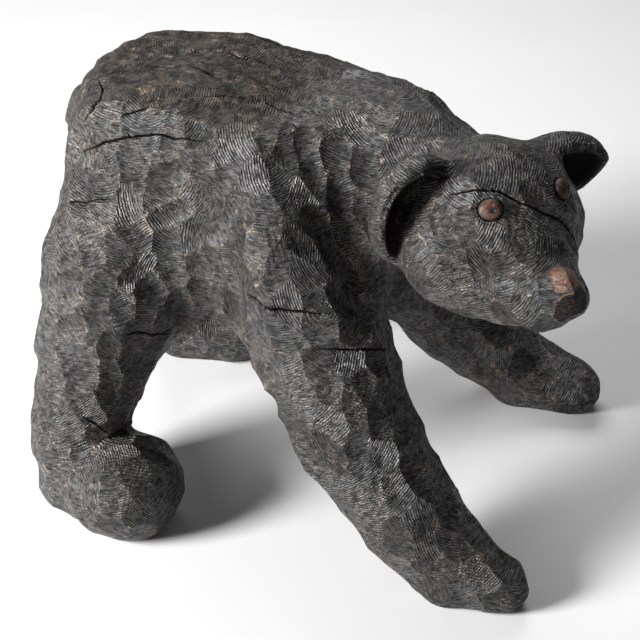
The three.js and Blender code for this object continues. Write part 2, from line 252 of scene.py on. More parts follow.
def bear_distance(points):
    """Signed distance to the whole carving, less than zero in the wood, cut level at the ground."""
    p = points - SHIFT
    body = join(rounded_block(p, **RUMP), rounded_block(p, **RIBS), BLEND["body"])
    body = join(body, egg(p - np.array(BELLY["at"]), BELLY["radii"]), BLEND["body"])
    body = cut(body, p[:, 2] - BACK_HEIGHT - BACK_SLOPE * p[:, 0], BLEND["back"])
    neck_to = HEAD_AT - HEAD_AXES[:, 0] * NECK_BACK_OFFSET
    body = join(body, taper(p, NECK_FROM, neck_to, *NECK_RADII), BLEND["neck"])
    for leg in (
        limb(p, HIP, -1, HIND_RIGHT, HIND_RIGHT_FOOT),
        limb(p, HIP, 1, HIND_LEFT, HIND_LEFT_FOOT),
        limb(p, SHOULDER, -1, FORE_RIGHT),
        limb(p, SHOULDER, 1, FORE_LEFT),
    ):
        body = join(body, leg, BLEND["leg"])
    for start, end, radius in HOLLOWS:
        body = cut(body, -taper(p, start, end, radius, radius), BLEND["hollow"])
    body = join(body, egg(p - np.array(TAIL["at"]), TAIL["radii"]), BLEND["tail"])
    q = (p - HEAD_AT) @ HEAD_AXES
    body = join(body, face_distance(q), BLEND["head"])
    for ear in EARS:
        body = join(body, ear_distance(q, ear), BLEND["ear"])
    return np.maximum(body, -p[:, 2])


# ---------------------------------------------------------------- from distance to a closed surface
def slope_of(points, reach=0.4):
    """Unit outward direction of the distance field, by differences along each axis."""
    steps = np.eye(3) * reach
    slope = np.stack([bear_distance(points + s) - bear_distance(points - s) for s in steps], 1)
    return slope / np.maximum(np.linalg.norm(slope, axis=1, keepdims=True), 1e-6)


def settle(points, rounds, reach):
    """Slides each point along the field's slope until its distance is nought, no further than reach."""
    start = points.copy()
    for _ in range(rounds):
        points = points - slope_of(points) * bear_distance(points)[:, None]
        travel = points - start
        far = np.linalg.norm(travel, axis=1, keepdims=True)
        points = start + travel * np.minimum(1, reach / np.maximum(far, 1e-9))
    points[np.abs(points[:, 2]) < reach / 4, 2] = 0
    return points


def closed_surface(cell):
    """One vertex in each cubic cell that the surface crosses, at the mean of its crossed edges,
    and one four-sided face round each crossed grid edge, split along its shorter diagonal."""
    low = np.array(CAD_BOX[0]) / MM - 6 * cell
    high = np.array(CAD_BOX[1]) / MM + 6 * cell
    low[2] = -2.5 * cell
    lines = [np.arange(a, b, cell) for a, b in zip(low, high)]
    count = [len(line) for line in lines]
    value = np.empty(count)
    across, up = np.meshgrid(lines[1], lines[2], indexing="ij")
    for i, x in enumerate(lines[0]):
        sheet = np.stack([np.full(across.size, x), across.ravel(), up.ravel()], 1)
        value[i] = bear_distance(sheet).reshape(across.shape)
    inside = value < 0
    corners = [(i, j, k) for i in (0, 1) for j in (0, 1) for k in (0, 1)]

    def corner(grid, c):
        return grid[c[0]:count[0] - 1 + c[0], c[1]:count[1] - 1 + c[1], c[2]:count[2] - 1 + c[2]]

    number = sum(corner(inside, c).astype(int) for c in corners)
    mixed = (number > 0) & (number < 8)
    cells = np.argwhere(mixed)
    total = np.zeros((len(cells), 3))
    hits = np.zeros(len(cells))
    for a in corners:
        for axis in range(3):
            if a[axis]:
                continue
            b = tuple(v + (n == axis) for n, v in enumerate(a))
            at_a, at_b = corner(value, a)[mixed], corner(value, b)[mixed]
            crossed = (at_a < 0) != (at_b < 0)
            share = np.where(crossed, at_a / np.where(crossed, at_a - at_b, 1), 0)
            place = cells + np.array(a, float)
            place[:, axis] += share
            total += place * crossed[:, None]
            hits += crossed
    vertices = total / hits[:, None] * cell + np.array([line[0] for line in lines])
    label = -np.ones(mixed.shape, int)
    label[mixed] = np.arange(len(cells))
    quads = []
    for axis in range(3):
        ahead = np.roll(inside, -1, axis)
        here = np.argwhere(inside != ahead)
        here = here[(here > 0).all(1) & (here < np.array(count) - 1).all(1)]
        u, v = np.eye(3, dtype=int)[(axis + 1) % 3], np.eye(3, dtype=int)[(axis + 2) % 3]
        ring = [label[tuple((here - step).T)] for step in (0 * u, u, u + v, v)]
        ring = np.stack(ring, 1)
        outward = inside[tuple(here.T)]
        quads.append(np.where(outward[:, None], ring, ring[:, ::-1]))
    quads = np.concatenate(quads)
    vertices = settle(vertices, 3, cell * 0.6)
    a, b, c, d = (vertices[quads[:, n]] for n in range(4))
    short = ((a - c) ** 2).sum(1) < ((b - d) ** 2).sum(1)
    one = np.where(short[:, None], quads[:, [0, 1, 2]], quads[:, [0, 1, 3]])
    two = np.where(short[:, None], quads[:, [0, 2, 3]], quads[:, [1, 2, 3]])
    return vertices, np.concatenate([one, two])


def refine(vertices, triangles, wanted):
    """Halves every edge whose middle lies in the wanted zone, and splits its triangles to match:
    three halved edges give four triangles, two give three, one gives two."""
    sides = [triangles[:, pair] for pair in ([0, 1], [1, 2], [2, 0])]
    pairs = np.sort(np.concatenate(sides), 1)
    keys = pairs[:, 0] * len(vertices) + pairs[:, 1]
    unique, first, place = np.unique(keys, return_index=True, return_inverse=True)
    ends = pairs[first]
    middle = (vertices[ends[:, 0]] + vertices[ends[:, 1]]) / 2
    halved = wanted(middle)
    fresh = -np.ones(len(unique), int)
    fresh[halved] = len(vertices) + np.arange(halved.sum())
    mids = fresh[place].reshape(3, -1).T
    split = (mids >= 0).sum(1)
    made = [triangles[split == 0]]
    t, m = triangles[split == 3], mids[split == 3]
    for trio in ((t[:, 0], m[:, 0], m[:, 2]), (m[:, 0], t[:, 1], m[:, 1]),
                 (m[:, 2], m[:, 1], t[:, 2]), (m[:, 0], m[:, 1], m[:, 2])):
        made.append(np.stack(trio, 1))
    for turn in range(3):
        order = [turn, (turn + 1) % 3, (turn + 2) % 3]
        pick = (split == 1) & (mids[:, turn] >= 0)
        t, m = triangles[pick][:, order], mids[pick][:, order]
        made += [np.stack(trio, 1) for trio in (
            (t[:, 0], m[:, 0], t[:, 2]), (m[:, 0], t[:, 1], t[:, 2]))]
        pick = (split == 2) & (mids[:, (turn + 2) % 3] < 0)
        t, m = triangles[pick][:, order], mids[pick][:, order]
        made += [np.stack(trio, 1) for trio in (
            (m[:, 0], t[:, 1], m[:, 1]), (t[:, 0], m[:, 0], m[:, 1]), (t[:, 0], m[:, 1], t[:, 2]))]
    return np.concatenate([vertices, middle[halved]]), np.concatenate(made)


# ---------------------------------------------------------------- relief carved into that surface
TABLE = CHANCE.random((24, 24, 24))


def lumps(p, size):
    """Smooth random values from -1 to 1: a table of random numbers, eased between its points."""
    scaled = p / size
    base = np.floor(scaled).astype(int)
    part = scaled - base
    part = part * part * (3 - 2 * part)
    total = 0
    for c in ((i, j, k) for i in (0, 1) for j in (0, 1) for k in (0, 1)):
        index = tuple(((base + c) % len(TABLE)).T)
        weight = np.prod(np.where(c, part, 1 - part), 1)
        total = total + TABLE[index] * weight
    return total * 2 - 1


def ease(low, high, x):
    """Runs from 0 at low to 1 at high, level at both ends."""
    t = np.clip((x - low) / (high - low), 0, 1)
    return t * t * (3 - 2 * t)


def in_head(p):
    """Points in the head's own axes."""
    return (p - SHIFT - HEAD_AT) @ HEAD_AXES


def head_share(p):
    """1 on the head, easing to 0 on the neck."""
    q = in_head(p)
    return 1 - ease(95, 125, np.linalg.norm(q - np.array([20, 0, 0]), axis=1))


def eye_frames():
    """For each eye: its place on the head, and its outward axis."""
    for side in (-1, 1):
        axis = EYE_AXIS * (1, side, 1)
        axis = HEAD_AXES @ (axis / np.linalg.norm(axis))
        yield side, SHIFT + HEAD_AT + HEAD_AXES @ (EYE_AT * (1, side, 1)), axis


def eye_sides(axis):
    """The level direction and the upright direction across an eye's axis."""
    across = np.cross(np.array([0, 0, 1.0]), axis)
    across /= np.linalg.norm(across)
    return across, np.cross(axis, across)


def eye_distance(p):
    """Distance from the nearer eye's axis in the eyes' oval measure, large far from both eyes."""
    best = np.full(len(p), 1e3)
    for _, at, axis in eye_frames():
        offset = p - at
        along = offset @ axis
        across, upward = eye_sides(axis)
        off = np.hypot(offset @ across, offset @ upward / EYE_SQUASH)
        best = np.minimum(best, np.where(np.abs(along) < 15, off, 1e3))
    return best


def split_distance(p):
    """Signed distance to the nearest split's sheet, and the split's half width and depth there.

    A sheet stands on the line through the split's points and runs into the wood. The half width
    falls to nought at both ends, and the sheet wavers a little along its length."""
    side = np.full(len(p), 20.0)
    width = np.zeros(len(p))
    depth = np.zeros(len(p))
    for points, half_width, deep in SPLITS:
        points = np.array(points, float)
        lengths = np.linalg.norm(np.diff(points, axis=0), axis=1)
        marks = np.concatenate([[0], np.cumsum(lengths)])
        low, high = points.min(0) - SPLIT_REACH, points.max(0) + SPLIT_REACH
        near = np.flatnonzero((p > low).all(1) & (p < high).all(1))
        if not len(near):
            continue
        normals = slope_of(points)
        best = np.full(len(near), 1e3)
        here = p[near]
        waver = lumps(here + half_width * 997, 14.0) * 1.6 + lumps(here, 5.0) * 0.5
        for n in range(len(points) - 1):
            along_axis = (points[n + 1] - points[n]) / lengths[n]
            normal = normals[n] + normals[n + 1]
            sheet = np.cross(along_axis, normal / np.linalg.norm(normal))
            sheet /= np.linalg.norm(sheet)
            offset = here - points[n]
            along = offset @ along_axis
            away = np.maximum(np.maximum(-along, along - lengths[n]), 0)
            across = offset @ sheet
            below = np.abs(offset @ (normal / np.linalg.norm(normal)))
            far = np.hypot(away, across) + np.maximum(below - 25, 0)
            closer = far < best
            best = np.where(closer, far, best)
            run = np.clip((marks[n] + along) / marks[-1], 0, 1)
            opening = half_width * np.sqrt(np.sin(np.pi * np.clip(run, 0.001, 0.999)))
            take = near[closer & (far < 12)]
            pick = closer & (far < 12)
            side[take] = across[pick] + waver[pick]
            width[take] = opening[pick]
            depth[take] = deep * (opening[pick] / half_width)
    return side, width, depth


def scatter(p, spacing):
    """Indices of points no closer together than the spacing at each, taken in random order.

    A point is kept once every earlier point within its spacing is dropped, and dropped once one of
    them is kept, so a few rounds over whole arrays settle them all."""
    order = CHANCE.permutation(len(p))[:SEEDS_TRIED]
    at, reach = p[order], spacing[order]
    later, earlier = [], []
    for start in range(0, len(order), SEEDS_AT_ONCE):
        stop = min(start + SEEDS_AT_ONCE, len(order))
        close = ((at[None, :stop] - at[start:stop, None]) ** 2).sum(2) < reach[start:stop, None] ** 2
        row, column = np.nonzero(close)
        row += start
        before = column < row
        later.append(row[before])
        earlier.append(column[before])
    later, earlier = np.concatenate(later), np.concatenate(earlier)
    kept, dropped = np.zeros(len(order), bool), np.zeros(len(order), bool)
    while not (kept | dropped).all():
        dropped[later[kept[earlier]]] = True
        free = ~(kept | dropped)
        free[later[~dropped[earlier]]] = False
        kept |= free
    return order[kept]


class Cuts:
    """Gouge cuts scattered over the surface, each a shallow scoop longer one way than the other."""

    def __init__(self, p, normals, kind, on_head, depth_share=1):
        """Scoops run down the flanks, slant forward over the fore half, and lie along a level back,
        each turned a little by chance; their reach is a share of the spacing."""
        spacing = kind["spacing"][0] - kind["spacing"][1] * on_head
        depth = (kind["depth"][0] - kind["depth"][1] * on_head) * depth_share
        index = scatter(p, spacing)
        self.at, self.normal = p[index], normals[index]
        flow = np.stack([
            0.55 * ease(0, 90, self.at[:, 0]) + 0.9 * ease(0.75, 0.95, self.normal[:, 2]),
            0 * self.at[:, 0],
            -1 + 0.9 * ease(0.75, 0.95, self.normal[:, 2])], 1)
        flow += CHANCE.normal(0, 0.38, flow.shape)
        flow -= (flow * self.normal).sum(1)[:, None] * self.normal
        self.along = flow / np.linalg.norm(flow, axis=1)[:, None]
        self.across = np.cross(self.normal, self.along)
        reach = spacing[index] * 0.62
        self.half_long = reach * kind["long_share"] * CHANCE.uniform(0.85, 1.2, len(index))
        self.half_wide = reach * CHANCE.uniform(0.85, 1.15, len(index))
        self.depth = depth[index] * CHANCE.uniform(0.7, 1.25, len(index))
        self.level = kind["level"] * CHANCE.uniform(-1, 1, len(index))
        self.tone = CHANCE.random(len(index))
        self.spin = CHANCE.uniform(-0.4, 0.4, len(index))
        self.spin += (CHANCE.random(len(index)) < 0.25) * 1.2

    def place(self, p, cut):
        """Position of points in their cuts' own axes: along, across, out."""
        offset = p - self.at[cut]
        return [(offset * axes[cut]).sum(-1) for axes in (self.along, self.across, self.normal)]

    def height(self, p, normals, cut):
        """Height of a cut's floor over the surface: its depth times the scaled distance squared
        less 1. A cut on a wall that faces another way is lifted out of reach."""
        u, v, w = self.place(p, cut)
        scaled = (u / self.half_long[cut]) ** 2 + (v / self.half_wide[cut]) ** 2
        scaled = scaled + (w / (1.3 * self.half_wide[cut])) ** 2
        facing = (self.normal[cut] * normals).sum(-1)
        return self.depth[cut] * (scaled - 1 + self.level[cut]) + np.where(facing < 0.15, 50, 0)

    def nearest(self, p, normals, several=8, block=4000):
        """The lowest and second lowest cut at each point, and their heights."""
        best, second, low, next_low = [], [], [], []
        at = self.at
        size2 = (at ** 2).sum(1)
        for start in range(0, len(p), block):
            q, n = p[start:start + block], normals[start:start + block]
            far = size2 - 2 * q @ at.T
            near = np.argpartition(far, several, axis=1)[:, :several]
            height = self.height(q[:, None, :], n[:, None, :], near)
            order = np.argsort(height, axis=1)[:, :2]
            rows = np.arange(len(q))
            best.append(near[rows, order[:, 0]])
            second.append(near[rows, order[:, 1]])
            low.append(height[rows, order[:, 0]])
            next_low.append(height[rows, order[:, 1]])
        return [np.concatenate(part) for part in (best, second, low, next_low)]


def carve_bear(cell):
    """The finished surface and what its material reads, as arrays."""
    p, triangles = closed_surface(cell)
    normals = slope_of(p)
    on_head = head_share(p)
    # Cuts grow shallower down to the paws.
    off_paws = 0.45 + 0.55 * ease(50, 170, p[:, 2])
    cuts = Cuts(p, normals, SCOOP, on_head, off_paws)
    flats = Cuts(p, normals, FLAT, on_head)

    def near_detail(points, eye_reach, rim_reach):
        """True near a split, an eye's rim or an ear's rim, where outer egg and hollow meet."""
        side, width, _ = split_distance(points)
        wanted = (np.abs(side) < SPLIT_BAND) & (width > 0)
        wanted |= np.abs(eye_distance(points) - EYE_RIM) < eye_reach
        q = in_head(points)
        for ear in EARS:
            _, outer, hollow = ear_shells(q, ear)
            wanted |= (np.abs(outer) < rim_reach) & (np.abs(hollow) < rim_reach)
        return wanted

    for eye_reach, rim_reach in FINER_ROUNDS:
        p, triangles = refine(p, triangles, lambda middle: near_detail(middle, eye_reach, rim_reach))
        p = settle(p, 3, cell * 0.5)
    normals = slope_of(p)

    best, second, low, next_low = cuts.nearest(p, normals)
    # Points close to a ridge slide onto it, so that the mesh's edges run along the ridges: the gap
    # between the two lowest cuts, divided by its slope along the surface, is the way to go.
    probe = 0.5
    gap = next_low - low
    slope = np.stack([
        cuts.height(p + s, normals, second) - cuts.height(p + s, normals, best) - gap
        for s in np.eye(3) * probe], 1) / probe
    slope -= (slope * normals).sum(1)[:, None] * normals
    steep = np.maximum((slope ** 2).sum(1), 1e-4)
    slide = -slope * (gap / steep)[:, None]
    reach = np.linalg.norm(slide, axis=1)
    close = (reach < cell * SLIDE_LIMIT) & (p[:, 2] > 4) & (eye_distance(p) > 18)
    p = np.where(close[:, None], p + slide, p)
    best, second, low, next_low = cuts.nearest(p, normals)
    ridge = np.exp(-np.maximum(next_low - low, 0) / RIDGE_FADE)

    q = in_head(p)
    _, _, flat_low, _ = flats.nearest(p, normals)
    # The torn top: level, high and behind the shoulders, with a ragged border.
    top = ease(0.72, 0.93, normals[:, 2]) * ease(505, 530, p[:, 2]) * (1 - ease(-60, 10, p[:, 0]))
    top *= ease(-0.9, 0.1, lumps(p, 38.0) + 0.5)
    # Nothing is carved into the soles or right beside the eyes; the ears are cut lightly.
    clear = ease(0.5, 7, p[:, 2]) * ease(14, 21, eye_distance(p))
    in_ear = np.zeros(len(p))
    for ear in EARS:
        forward, _, hollow = ear_shells(q, ear)
        inside = (1 - ease(-1, 5, hollow)) * (1 - ease(6, 16, forward))
        in_ear = np.maximum(in_ear, inside * ease(2, 16, face_distance(q)))
    on_ear = np.zeros(len(p))
    for ear in EARS:
        _, outer, _ = ear_shells(q, ear)
        on_ear = np.maximum(on_ear, (1 - ease(2, 8, outer)) * ease(4, 14, face_distance(q)))
    scoop = np.clip(low, -5, 1.2) * (1 - 0.65 * top) * (1 - 0.6 * on_ear)
    broad = np.clip(flat_low, -4, 2)
    fine, coarse = (np.abs(lumps(p * stretch, size)) * height for stretch, size, height in FURROWS)
    push = scoop + broad + lumps(p, SWELL[1]) * SWELL[0] + (-fine - coarse) * top + SKIN_OUT
    # A split is a groove whose floor rises to its lips; a socket is a round step down.
    side, width, depth = split_distance(p)
    groove = np.clip(1 - np.abs(side) / (width * 1.3 + 0.5), 0, 1) * (width > 0.05)
    push = push * clear - depth * groove ** 0.7
    push -= SOCKET_DEPTH * (1 - ease(SOCKET_RADIUS - 0.9, SOCKET_RADIUS + 0.3, eye_distance(p)))
    push = np.where(p[:, 2] <= 0.01, 0, push)
    p = p + normals * push[:, None]
    p[:, 2] = np.maximum(p[:, 2], 0)

    # Each triangle takes the cut that is lowest at its middle. Its tool lines run across the cut's
    # own axes, turned by its spin, bowed by the square of the way across, and moved by its tone.
    middle = p[triangles].mean(1)
    facing = normals[triangles].mean(1)
    choice = best[triangles]
    heights = cuts.height(middle[:, None, :], facing[:, None, :], choice)
    cut = choice[np.arange(len(choice)), heights.argmin(1)]
    u, v, _ = cuts.place(p[triangles], cut[:, None])
    spin = cuts.spin[cut][:, None]
    turned_u = u * np.cos(spin) - v * np.sin(spin)
    turned_v = u * np.sin(spin) + v * np.cos(spin)
    shift = cuts.tone[cut][:, None] * TONE_SHIFT
    grain_map = np.stack([turned_u + turned_v ** 2 / TOOL_LINE_BEND + shift, turned_v + shift], -1) * MM
    tone = np.repeat(cuts.tone[cut], 3)
    return dict(
        vertices=p * MM, triangles=triangles, grain_map=grain_map.reshape(-1, 2),
        per_corner={"cut_tone": tone},
        per_vertex={"ridge": ridge * (1 - 0.5 * in_ear), "split_side": side, "split_width": width,
                    "weathered": top, "in_ear": in_ear})


# ---------------------------------------------------------------- meshes
def make_piece(name, vertices, faces, per_vertex=None, per_corner=None, grain_map=None, crease=0):
    """Puts arrays of corners and equal-sided faces into a mesh object."""
    mesh = bpy.data.meshes.new(name)
    sides = faces.shape[1]
    mesh.vertices.add(len(vertices))
    mesh.loops.add(faces.size)
    mesh.polygons.add(len(faces))
    mesh.vertices.foreach_set("co", vertices.astype(np.float32).ravel())
    mesh.loops.foreach_set("vertex_index", faces.astype(np.int32).ravel())
    mesh.polygons.foreach_set("loop_start", np.arange(0, faces.size, sides, dtype=np.int32))
    mesh.polygons.foreach_set("loop_total", np.full(len(faces), sides, dtype=np.int32))
    for domain, values in (("POINT", per_vertex or {}), ("CORNER", per_corner or {})):
        for key, array in values.items():
            layer = mesh.attributes.new(key, "FLOAT", domain)
            layer.data.foreach_set("value", np.asarray(array, np.float32))
    if grain_map is not None:
        layer = mesh.uv_layers.new(name="grain_map")
        layer.data.foreach_set("uv", grain_map.astype(np.float32).ravel())
    mesh.update(calc_edges=True)
    mesh.validate()
    mesh.shade_smooth()
    if crease:
        mesh.set_sharp_from_angle(angle=math.radians(crease))
    piece = bpy.data.objects.new(name, mesh)
    bpy.context.scene.collection.objects.link(piece)
    return piece


def eye_plug(name, at, axis):
    """A turned plug: a profile carried round the eye's axis, its dome worn uneven, with a small
    drilled pupil. The ends of the profile lie on the axis, where the rings close to single points."""
    rings, sides = 34, 64
    profile = [(r, -EYE_SUNK) for r in np.linspace(0, EYE_RADIUS - 0.5, 7)]
    profile += [(EYE_RADIUS, h) for h in np.linspace(-EYE_SUNK + 0.5, 0.2, 6)]
    angles = np.linspace(0.06, math.pi / 2, rings - len(profile))
    profile += [(EYE_RADIUS * math.cos(a) ** 0.9, 0.3 + EYE_DOME * math.sin(a)) for a in angles]
    profile = np.array(profile)
    round_angle = np.arange(sides) * (2 * math.pi / sides)
    radius = profile[1:-1, 0][:, None]
    height = profile[1:-1, 1][:, None] + 0 * round_angle
    side_x, side_y = radius * np.cos(round_angle), radius * np.sin(round_angle)
    seed = np.stack([side_x.ravel() + at[0], side_y.ravel() + at[1], height.ravel() + at[2]], 1)
    above = height.ravel() > 0
    wear = (lumps(seed, 6.0) * 0.45 + lumps(seed, 2.6) * 0.2) * above
    pupil = np.hypot(side_x.ravel() - 2.2, side_y.ravel() + 1.6)
    worn = height.ravel() + wear - 0.8 * above * (1 - ease(1.4, 2.8, pupil))
    across, upward = eye_sides(axis)
    flat_x = np.concatenate([[0], side_x.ravel(), [0]])
    flat_y = np.concatenate([[0], side_y.ravel(), [0]])
    tall = np.concatenate([[profile[0, 1]], worn, [profile[-1, 1] - 0.1]])
    base = at + axis * EYE_STAND
    points = base + flat_x[:, None] * across + EYE_SQUASH * flat_y[:, None] * upward
    points = points + tall[:, None] * axis
    count = len(profile) - 2
    ring = np.arange(count * sides).reshape(count, sides) + 1
    following = np.roll(ring, -1, 1)
    a, b = ring[:-1].ravel(), following[:-1].ravel()
    c, d = following[1:].ravel(), ring[1:].ravel()
    triangles = [np.stack([a, b, c], 1), np.stack([a, c, d], 1)]
    last = len(points) - 1
    triangles.append(np.stack([np.zeros(sides, int), following[0], ring[0]], 1))
    triangles.append(np.stack([np.full(sides, last), ring[-1], following[-1]], 1))
    triangles = np.concatenate(triangles)
    flat = np.stack([flat_x, flat_y], 1) * MM
    return make_piece(name, points * MM, triangles, grain_map=flat[triangles].reshape(-1, 2))


# ---------------------------------------------------------------- materials
def add(tree, kind, sockets=None, **settings):
    """Adds a node; a socket's value is a number, a colour or another node's output."""
    made = tree.nodes.new(kind)
    for key, value in settings.items():
        setattr(made, key, value)
    for key, value in (sockets or {}).items():
        if isinstance(value, bpy.types.NodeSocket):
            tree.links.new(value, made.inputs[key])
        else:
            made.inputs[key].default_value = value
    return made


def maths(tree, operation, *values, clamp=False):
    """One sum on one, two or three values."""
    made = add(tree, "ShaderNodeMath", dict(enumerate(values)), operation=operation, use_clamp=clamp)
    return made.outputs[0]


def times(tree, first, second):
    """Product of two values."""
    return maths(tree, "MULTIPLY", first, second)


def rest_of(tree, share):
    """What a share leaves of 1."""
    return maths(tree, "SUBTRACT", 1.0, share)


def between(tree, value, low, high, to_low=0.0, to_high=1.0):
    """Eases a value from one range into another, level at both ends."""
    made = add(tree, "ShaderNodeMapRange", {
        "Value": value, "From Min": low, "From Max": high, "To Min": to_low, "To Max": to_high},
        interpolation_type="SMOOTHSTEP")
    return made.outputs["Result"]


def mixed(tree, share, first, second):
    """The first colour, turning into the second as the share goes to 1."""
    made = add(tree, "ShaderNodeMix", {0: share, 6: first, 7: second}, data_type="RGBA")
    return made.outputs[2]


def noise(tree, where, scale, detail=3.0, rough=0.6, distort=0.0):
    """Cloudy values from 0 to 1, scale to the metre."""
    made = add(tree, "ShaderNodeTexNoise", {
        "Vector": where, "Scale": scale, "Detail": detail, "Roughness": rough, "Distortion": distort})
    return made.outputs["Fac"]


def attribute(tree, name):
    """Values that the mesh carries under this name."""
    return add(tree, "ShaderNodeAttribute", attribute_name=name).outputs["Fac"]


def new_material(name):
    """An empty material, its nodes and its surface shader."""
    material = bpy.data.materials.new(name)
    material.use_nodes = True
    tree = material.node_tree
    return material, tree, tree.nodes["Principled BSDF"]


# The log's pith runs along the body here; its rings, and how glossy the wax over them is.
LOG_PITH = (0.0, -0.012, 0.372)
RING_SCALE = 92.0
WAX_IOR = 1.58

# Places on the muzzle, in the head's own axes.
MUZZLE_END_AT, NOSE_PATCH_AT, NOSE_SPOT_AT = (144, 4, -1), (127, 0, 26), (137, -3, 21)

# Colours of stained wood, and of wood that the stain has left or never reached; some stand for light:
# painted sheen on crests and streaks, painted shade in splits, in ear hollows and on the muzzle's end,
# and a painted highlight along the muzzle's edge.
STAIN = {
    "thick": (0.0042, 0.0037, 0.0034, 1),
    "thin": (0.0120, 0.0100, 0.0084, 1),
    "line crest sheen": (0.056, 0.050, 0.045, 1),
    "streak sheen": (0.064, 0.060, 0.056, 1),
    "pore": (0.0030, 0.0026, 0.0023, 1),
    "dust": (0.100, 0.089, 0.079, 1),
    "weathered": (0.060, 0.049, 0.040, 1),
    "muzzle end shade": (0.0075, 0.0062, 0.0056, 1),
    "nose spot": (0.008, 0.006, 0.005, 1),
    "shade in a split": (0.003, 0.0025, 0.002, 1),
    "shade in an ear": (0.004, 0.0035, 0.003, 1),
}
BARE = {
    "rubbed ridge": (0.36, 0.235, 0.135, 1),
    "chip": (0.40, 0.27, 0.155, 1),
    "muzzle edge highlight": (0.30, 0.19, 0.11, 1),
    "muzzle fleck": (0.17, 0.085, 0.045, 1),
    "nose dark": (0.050, 0.022, 0.015, 1),
    "nose light": (0.185, 0.088, 0.055, 1),
    "split lip": (0.23, 0.095, 0.035, 1),
}
PLUG = {
    "dark": (0.014, 0.007, 0.006, 1),
    "light": (0.095, 0.042, 0.027, 1),
    "ring": (0.12, 0.064, 0.046, 1),
    "pupil": (0.012, 0.010, 0.010, 1),
    # rim: painted shade of the gap round the plug.
    "rim": (0.014, 0.010, 0.009, 1),
}
FLOOR_DARK, FLOOR_LIGHT = (0.52, 0.52, 0.52, 1), (0.56, 0.56, 0.56, 1)


